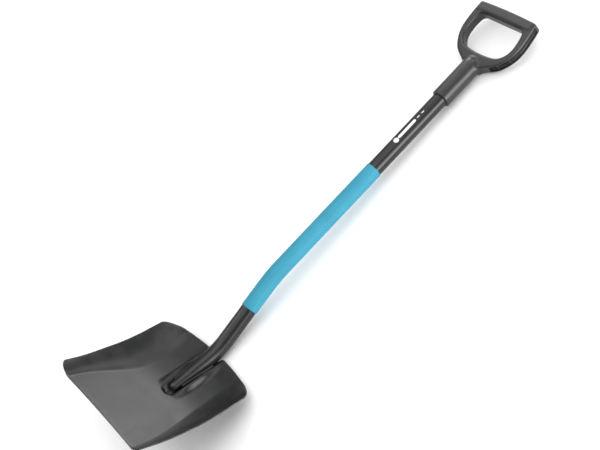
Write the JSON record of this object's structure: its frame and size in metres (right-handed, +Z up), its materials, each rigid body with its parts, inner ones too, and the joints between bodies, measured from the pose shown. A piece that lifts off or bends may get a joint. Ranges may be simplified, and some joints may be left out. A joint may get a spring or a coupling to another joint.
{
  "type": "square-mouth garden shovel",
  "caption": "Garden shovel with a square-mouth pressed blade, a bent steel tube shaft with a coloured sleeve, and a moulded D-grip.",
  "frame": {"origin": "centre of the bounding box in plan, on the ground that the shovel lies on", "axes": "+X along the shaft towards the grip, +Y across the blade, +Z up out of the blade's hollow side; the shovel lies on its back"},
  "size_m": [1.1068, 0.2826, 0.1702],
  "materials": {
    "blade_coat": "semi-gloss graphite powder coat on pressed steel",
    "shaft_coat": "semi-gloss black powder coat on steel tube",
    "sleeve_vinyl": "satin cyan-blue soft vinyl",
    "grip_plastic": "fine-grained black moulded polymer",
    "screw_zinc": "zinc-plated screw"
  },
  "bodies": {
    "root": {"blade": "blade_coat", "shaft_tube": "shaft_coat", "shaft_sleeve": "sleeve_vinyl", "weld_bead_left": "blade_coat", "weld_bead_right": "blade_coat", "d_grip": "grip_plastic", "grip_screw": "screw_zinc"}
  },
  "joints": []
}
